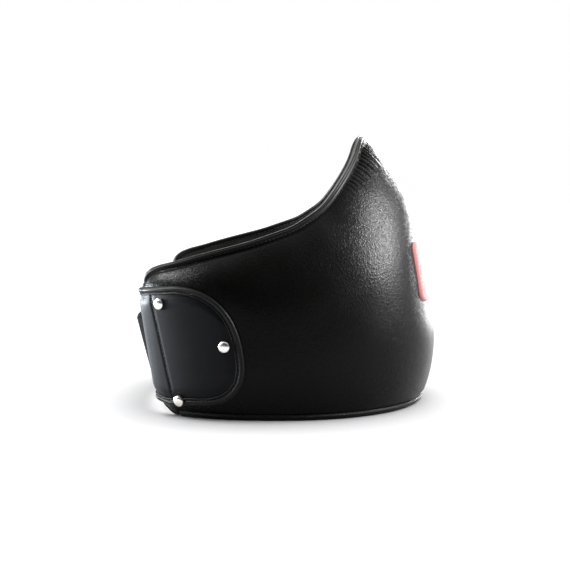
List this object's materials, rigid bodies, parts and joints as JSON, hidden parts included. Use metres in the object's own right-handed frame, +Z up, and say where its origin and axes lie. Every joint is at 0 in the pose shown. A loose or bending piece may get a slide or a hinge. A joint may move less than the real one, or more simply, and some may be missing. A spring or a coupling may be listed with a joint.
{
  "type": "trainer's belly and groin pad",
  "caption": "Crowned black leather belly and groin pad that wraps the waist, with bound edges, riveted D-shaped side wings and a hook-and-loop back strap.",
  "frame": {"origin": "middle of the pad's footprint, on the surface it stands on", "axes": "+Z up; the wearer faces -Y, the wearer's right is -X"},
  "size_m": [0.3736, 0.3204, 0.2839],
  "materials": {
    "black_leather": "satin grained synthetic leather",
    "dense_foam": "closed-cell foam",
    "soft_foam": "open-cell foam",
    "lining": "smooth lining cloth",
    "webbing": "ribbed webbing",
    "tape": "hook and loop pile",
    "red_patch": "satin vinyl",
    "rivets": "polished nickel",
    "burrs": "plain"
  },
  "bodies": {
    "pad": {"outer_cover": "black_leather", "impact_foam": "dense_foam", "comfort_foam": "soft_foam", "inner_lining": "lining", "top_binding": "black_leather", "bottom_binding": "black_leather", "front_patch": "red_patch", "right_panel": "black_leather", "right_panel_band": "black_leather", "right_rivet_1": "rivets", "right_rivet_2": "rivets", "right_rivet_3": "rivets", "right_burr_1": "burrs", "right_burr_2": "burrs", "right_burr_3": "burrs", "left_panel": "black_leather", "left_panel_band": "black_leather", "left_rivet_1": "rivets", "left_rivet_2": "rivets", "left_rivet_3": "rivets", "left_burr_1": "burrs", "left_burr_2": "burrs", "left_burr_3": "burrs"},
    "right_wing": {"right_wing_cover": "black_leather", "right_wing_foam": "dense_foam", "right_wing_lining": "lining", "right_wing_binding": "black_leather", "right_wing_band_top": "black_leather", "right_wing_band_foot": "black_leather", "right_wing_panel": "black_leather", "strap_root": "webbing"},
    "left_wing": {"left_wing_cover": "black_leather", "left_wing_foam": "dense_foam", "left_wing_lining": "lining", "left_wing_binding": "black_leather", "left_wing_band_top": "black_leather", "left_wing_band_foot": "black_leather", "left_wing_panel": "black_leather", "tail_web": "webbing", "loop_tape": "tape"},
    "strap": {"strap_web": "webbing", "hook_tape": "tape", "strap_tab": "black_leather"}
  },
  "joints": [
    {"name": "right_wing_fold", "type": "hinge", "parent": "pad", "child": "right_wing", "pos_m": [-0.15574, 0.12135, 0.072], "axis": [0, 0, 1], "range_deg": [0, 60]},
    {"name": "left_wing_fold", "type": "hinge", "parent": "pad", "child": "left_wing", "pos_m": [0.15574, 0.12135, 0.072], "axis": [0, 0, -1], "range_deg": [0, 60]},
    {"name": "strap_peel", "type": "hinge", "parent": "right_wing", "child": "strap", "pos_m": [-0.11539, 0.13173, 0.054], "axis": [0, 0, 1], "range_deg": [0, 90]}
  ],
  "couplings": [
    {"joint": "left_wing_fold", "follows": "right_wing_fold", "ratio": 1}
  ]
}
